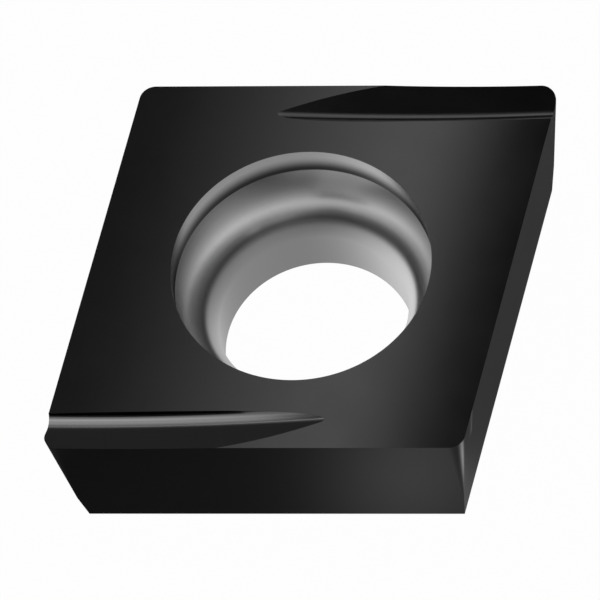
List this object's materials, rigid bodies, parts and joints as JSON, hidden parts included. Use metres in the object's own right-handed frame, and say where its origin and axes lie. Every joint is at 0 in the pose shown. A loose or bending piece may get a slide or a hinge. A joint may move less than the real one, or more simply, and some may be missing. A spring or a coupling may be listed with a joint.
{
  "type": "carbide insert",
  "caption": "Rhombic positive turning insert with ground chip grooves, rounded corners and a countersunk hole for its clamping screw.",
  "frame": {"origin": "where the screw hole's axis meets the flat seat face, the centre of the bottom of the box", "axes": "+Z out of the top face along the screw hole, +X along the two grooved cutting edges, towards the right-hand acute corner"},
  "size_m": [0.0112, 0.0096, 0.004],
  "materials": {
    "coated_carbide": "smooth dark coating over ground cemented carbide, bare satin metal in the screw hole"
  },
  "bodies": {
    "root": {"insert_body": "coated_carbide"}
  },
  "joints": []
}
